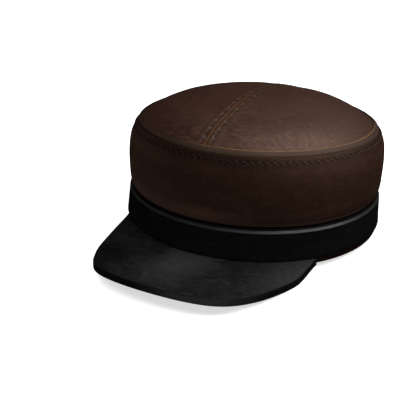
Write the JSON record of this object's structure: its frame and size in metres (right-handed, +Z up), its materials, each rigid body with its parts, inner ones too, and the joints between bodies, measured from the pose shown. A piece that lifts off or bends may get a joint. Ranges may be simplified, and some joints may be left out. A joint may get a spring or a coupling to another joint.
{
  "type": "military cap",
  "caption": "Round leather military cap: low domed top with a middle seam, flat rim strip, bulged side wall, black band and stiff flat peak, hollow for the head.",
  "frame": {"origin": "on the surface that the cap rests on, under the middle of its outline", "axes": "+Z up, +Y towards the back of the cap (the peak points to -Y), +X towards the wearer's left"},
  "size_m": [0.2, 0.268, 0.1036],
  "materials": {
    "crown_leather": "dark brown grained leather, soft sheen",
    "tan_edge": "raw tan leather edge, matt",
    "band_leather": "smooth black leather, satin",
    "peak_leather": "brushed black leather, soft sheen",
    "sweatband_leather": "smooth oxblood leather, satin"
  },
  "bodies": {
    "root": {"crown_top_left": "crown_leather", "crown_top_right": "crown_leather", "crown_seam_welt": "tan_edge", "crown_wall": "crown_leather", "rim_strip": "crown_leather", "band": "band_leather", "sweatband": "sweatband_leather", "peak": "peak_leather"}
  },
  "joints": []
}
